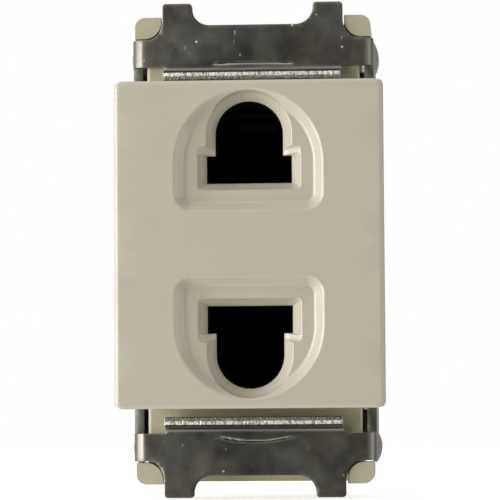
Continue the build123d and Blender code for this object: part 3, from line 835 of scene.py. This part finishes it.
def strap(name, node, end, groove_bow):
    """One strap; end is 1 at the top of the module and -1 at the bottom."""
    loops = [edge_loop, *windows]
    points, edges = [], []
    for loop in loops:
        first = len(points)
        points += loop
        edges += [(first + k, first + (k + 1) % len(loop)) for k in range(len(loop))]
    points = points + grid
    filled = geometry.delaunay_2d_cdt(points, edges, [], 0, 1e-5)
    flat, faces = filled[0], filled[2]
    bm = bmesh.new()
    verts = []
    for p in flat:
        spot = folded(p.x, p.y, groove_bow)
        dent = noise.noise(Vector((p.x * WAVES_PER_MM, p.y * WAVES_PER_MM, 7 * end)))
        spot.y += WAVE_HEIGHT * dent
        verts.append(bm.verts.new((spot.x, spot.y, end * spot.z)))
    for face in faces:
        centre = sum((flat[i] for i in face), Vector((0, 0))) / len(face)
        if inside(edge_loop, centre) and not any(inside(w, centre) for w in windows):
            bm.faces.new([verts[i] for i in face])
    bmesh.ops.delete(bm, geom=[v for v in bm.verts if not v.link_faces], context="VERTS")
    bmesh.ops.join_triangles(bm, faces=bm.faces, angle_face_threshold=0.6, angle_shape_threshold=0.6)
    piece = to_piece(bm, name, [strap_steel, strap_cut, strap_sheared])
    thick = piece.modifiers.new("sheet", "SOLIDIFY")
    thick.thickness = SHEET * MM
    thick.offset = 0
    thick.material_offset_rim = 1
    torn_edge(piece)
    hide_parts(node)
    return piece


BLANKED_ROUND, TEAR_HEIGHT = 0.06, 0.045


def spans(edge, axis):
    """How far an edge reaches along one axis."""
    return abs(edge.verts[0].co[axis] - edge.verts[1].co[axis])


def faces_the_room(face):
    return face.normal.y < -0.9 and face.calc_center_median().y < FOLD_EDGE + 0.1


def torn_edge(piece):
    """Applies the thickness, rounds the cut edges, and tears the fold's free edge."""
    depsgraph = bpy.context.evaluated_depsgraph_get()
    shape = bpy.data.meshes.new_from_object(piece.evaluated_get(depsgraph))
    piece.modifiers.clear()
    bm = bmesh.new()
    bm.from_mesh(shape)
    bmesh.ops.scale(bm, vec=(1 / MM,) * 3, verts=bm.verts)
    rim = [e for e in bm.edges if len({f.material_index for f in e.link_faces}) == 2]
    bmesh.ops.bevel(
        bm, geom=rim, offset=BLANKED_ROUND, segments=2, profile=0.5, affect="EDGES",
        material=0, clamp_overlap=True,
    )
    free = [f for f in bm.faces if f.material_index == 1 and faces_the_room(f)]
    for f in free:
        f.material_index = 2
    ring = {e for f in free for e in f.edges if e.calc_length() > 0.45 and spans(e, 2) > 0.4}
    bmesh.ops.subdivide_edges(bm, edges=list(ring), cuts=7, use_grid_fill=True)
    free = [f for f in bm.faces if f.material_index == 2]
    along = {e for f in free for e in f.edges if spans(e, 0) > 0.2}
    bmesh.ops.subdivide_edges(bm, edges=list(along), cuts=3, use_grid_fill=True)
    for v in bm.verts:
        if all(f.material_index == 2 for f in v.link_faces):
            tear = noise.noise(v.co * 4.3) * 0.6 + noise.noise(v.co * 9.1) * 0.5
            v.co.y += TEAR_HEIGHT * tear
    bmesh.ops.scale(bm, vec=(MM,) * 3, verts=bm.verts)
    bm.to_mesh(piece.data)
    bm.free()
    piece.data.polygons.foreach_set("use_smooth", [True] * len(piece.data.polygons))
    flatten_shading(piece)


top_strap_piece = strap("top_strap_sheet", "top_strap", 1, 0.08)
bottom_strap_piece = strap("bottom_strap_sheet", "bottom_strap", -1, 0.5)
print("strap faces", len(top_strap_piece.data.polygons))

# %% [markdown]
# ## The moulded and stamped pieces behind the face
# The body, the insert, the release buttons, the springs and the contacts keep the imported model's
# shapes, which are right. A CAD export has knife-sharp edges, though, and nothing real does: a
# mould leaves about a tenth of a millimetre, a stamping a little less. Each piece is a copy of the
# packed surface with its flats melted together and its edges rounded, so that light catches them.


# %% Rounded copies of the remaining nodes
def worked(node, name, finish, edge, body="housing"):
    """A node's own shape with its edges rounded by the given radius."""
    bm = solid_copy(node)
    round_edges(bm, edge)
    piece = to_piece(bm, name, [finish], body)
    flatten_shading(piece)
    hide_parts(node)
    return piece


worked("rear_body", "rear_body_shell", body_plastic, 0.12)
worked("contact_holder", "contact_insert", holder_plastic, 0.06)
worked("contact_rivets", "rivets", rivet_brass, 0.03)
for pole in ("upper", "lower"):
    worked(pole + "_blade_jaw", pole + "_flat_blade_jaw", contact_bronze, 0.06)
    worked(pole + "_pin_jaw", pole + "_round_pin_jaw", contact_bronze, 0.06)
    worked(pole + "_grip_clip", pole + "_clip", clip_steel, 0.05)
    worked(pole + "_terminal_plate", pole + "_terminal", terminal_brass, 0.06)
    button = pole + "_release_button"
    worked(button, pole + "_button", button_plastic, 0.06, body=button)
    for side in ("right", "left"):
        spring = pole + "_" + side + "_lock_spring"
        worked(spring, pole + "_" + side + "_spring", spring_steel, 0.04)

# %% [markdown]
# ## The table top and the light
# The module stands on its ears on a white table. The key lamp stands half-way round to the left,
# so the right side of each dish glows and the left side falls into shade. A tall narrow lamp
# farther round skims the face, a weaker one on the right keeps that side readable, and the pale
# room fills the rest.
# Metal mirrors the room in front of it. The wall there is nearly black for every ray but the
# camera's own, so that the straps look like steel and not like white paint.

# %% Floor
floor_mesh = bpy.data.meshes.new("table")
FLOOR_HALF = 1.5
FLOOR_GAP = 0.0001
floor_z = cad_box[0].z - FLOOR_GAP
signs = ((-1, -1), (1, -1), (1, 1), (-1, 1))
corners = [(x * FLOOR_HALF, y * FLOOR_HALF, floor_z) for x, y in signs]
floor_mesh.from_pydata(corners, [], [(0, 1, 2, 3)])
floor = bpy.data.objects.new("table", floor_mesh)
bpy.context.scene.collection.objects.link(floor)
table = Finish("table", Roughness=0.8, Emission_Color=(1, 1, 1, 1), Emission_Strength=0.55)
pale = table.mix(table.between(table.grain(0.05), 0.3, 0.7), (0.86, 0.86, 0.86), (0.88, 0.88, 0.88))
floor_mesh.materials.append(table.done(Base_Color=pale))
floor.visible_glossy = False
floor.visible_diffuse = False
floor.visible_shadow = False


# %% Lamps
def lamp(name, azimuth, distance, width, height, power):
    """A soft lamp level with the face and aimed at it. Azimuth 0 is in front, and -90 is the left."""
    light = bpy.data.lights.new(name, "AREA")
    light.shape = "RECTANGLE"
    light.size, light.size_y, light.energy = width, height, power
    way = Vector((math.sin(math.radians(azimuth)), -math.cos(math.radians(azimuth)), 0))
    holder = bpy.data.objects.new(name, light)
    bpy.context.scene.collection.objects.link(holder)
    holder.location = way * distance + Vector((0, FACE_FRONT * MM, 0))
    holder.rotation_mode = "QUATERNION"
    holder.rotation_quaternion = way.to_track_quat("Z", "Y")


lamp("key", -46, 0.40, 0.20, 0.26, 0.80)
lamp("left_side", -76, 0.35, 0.05, 0.36, 0.66)
lamp("right_side", 80, 0.45, 0.20, 0.40, 0.42)

# %% The room
world = bpy.data.worlds.new("room")
bpy.context.scene.world = world
world.use_nodes = True
room = world.node_tree
sky = room.nodes["Background"]
rays = room.nodes.new("ShaderNodeLightPath")


def room_node(kind, settings, sockets, output=0):
    made = room.nodes.new(kind)
    for name, value in settings.items():
        setattr(made, name, value)
    for name, value in sockets.items():
        if isinstance(value, bpy.types.NodeSocket):
            room.links.new(value, made.inputs[name])
        else:
            made.inputs[name].default_value = value
    return made.outputs[output]


way = room_node("ShaderNodeTexCoord", {}, {})
split = room.nodes.new("ShaderNodeSeparateXYZ")
room.links.new(way, split.inputs[0])


def room_sum(operation, first, second):
    return room_node("ShaderNodeMath", {"operation": operation}, {0: first, 1: second})


def room_ramp(value, low, high, start, end):
    settings = {"interpolation_type": "SMOOTHSTEP"}
    return room_node("ShaderNodeMapRange", settings, {0: value, 1: low, 2: high, 3: start, 4: end})


from_left = room_ramp(split.outputs["X"], -0.9, 0.6, 0.68, 0.34)
ceiling = room_sum("MULTIPLY", split.outputs["Z"], split.outputs["Z"])
pale_walls = room_sum("ADD", from_left, room_sum("MULTIPLY", ceiling, 0.5))
dark_wall = room_ramp(split.outputs["Y"], -0.94, -0.70, 0.04, 1.0)
walls = room_sum("MULTIPLY", pale_walls, dark_wall)
seen = room_node(
    "ShaderNodeMix", {"data_type": "RGBA"}, {0: rays.outputs["Is Camera Ray"], 6: walls, 7: (1, 1, 1, 1)}, 2
)
room.links.new(seen, sky.inputs["Color"])
bpy.context.scene.view_settings.view_transform = "Standard"
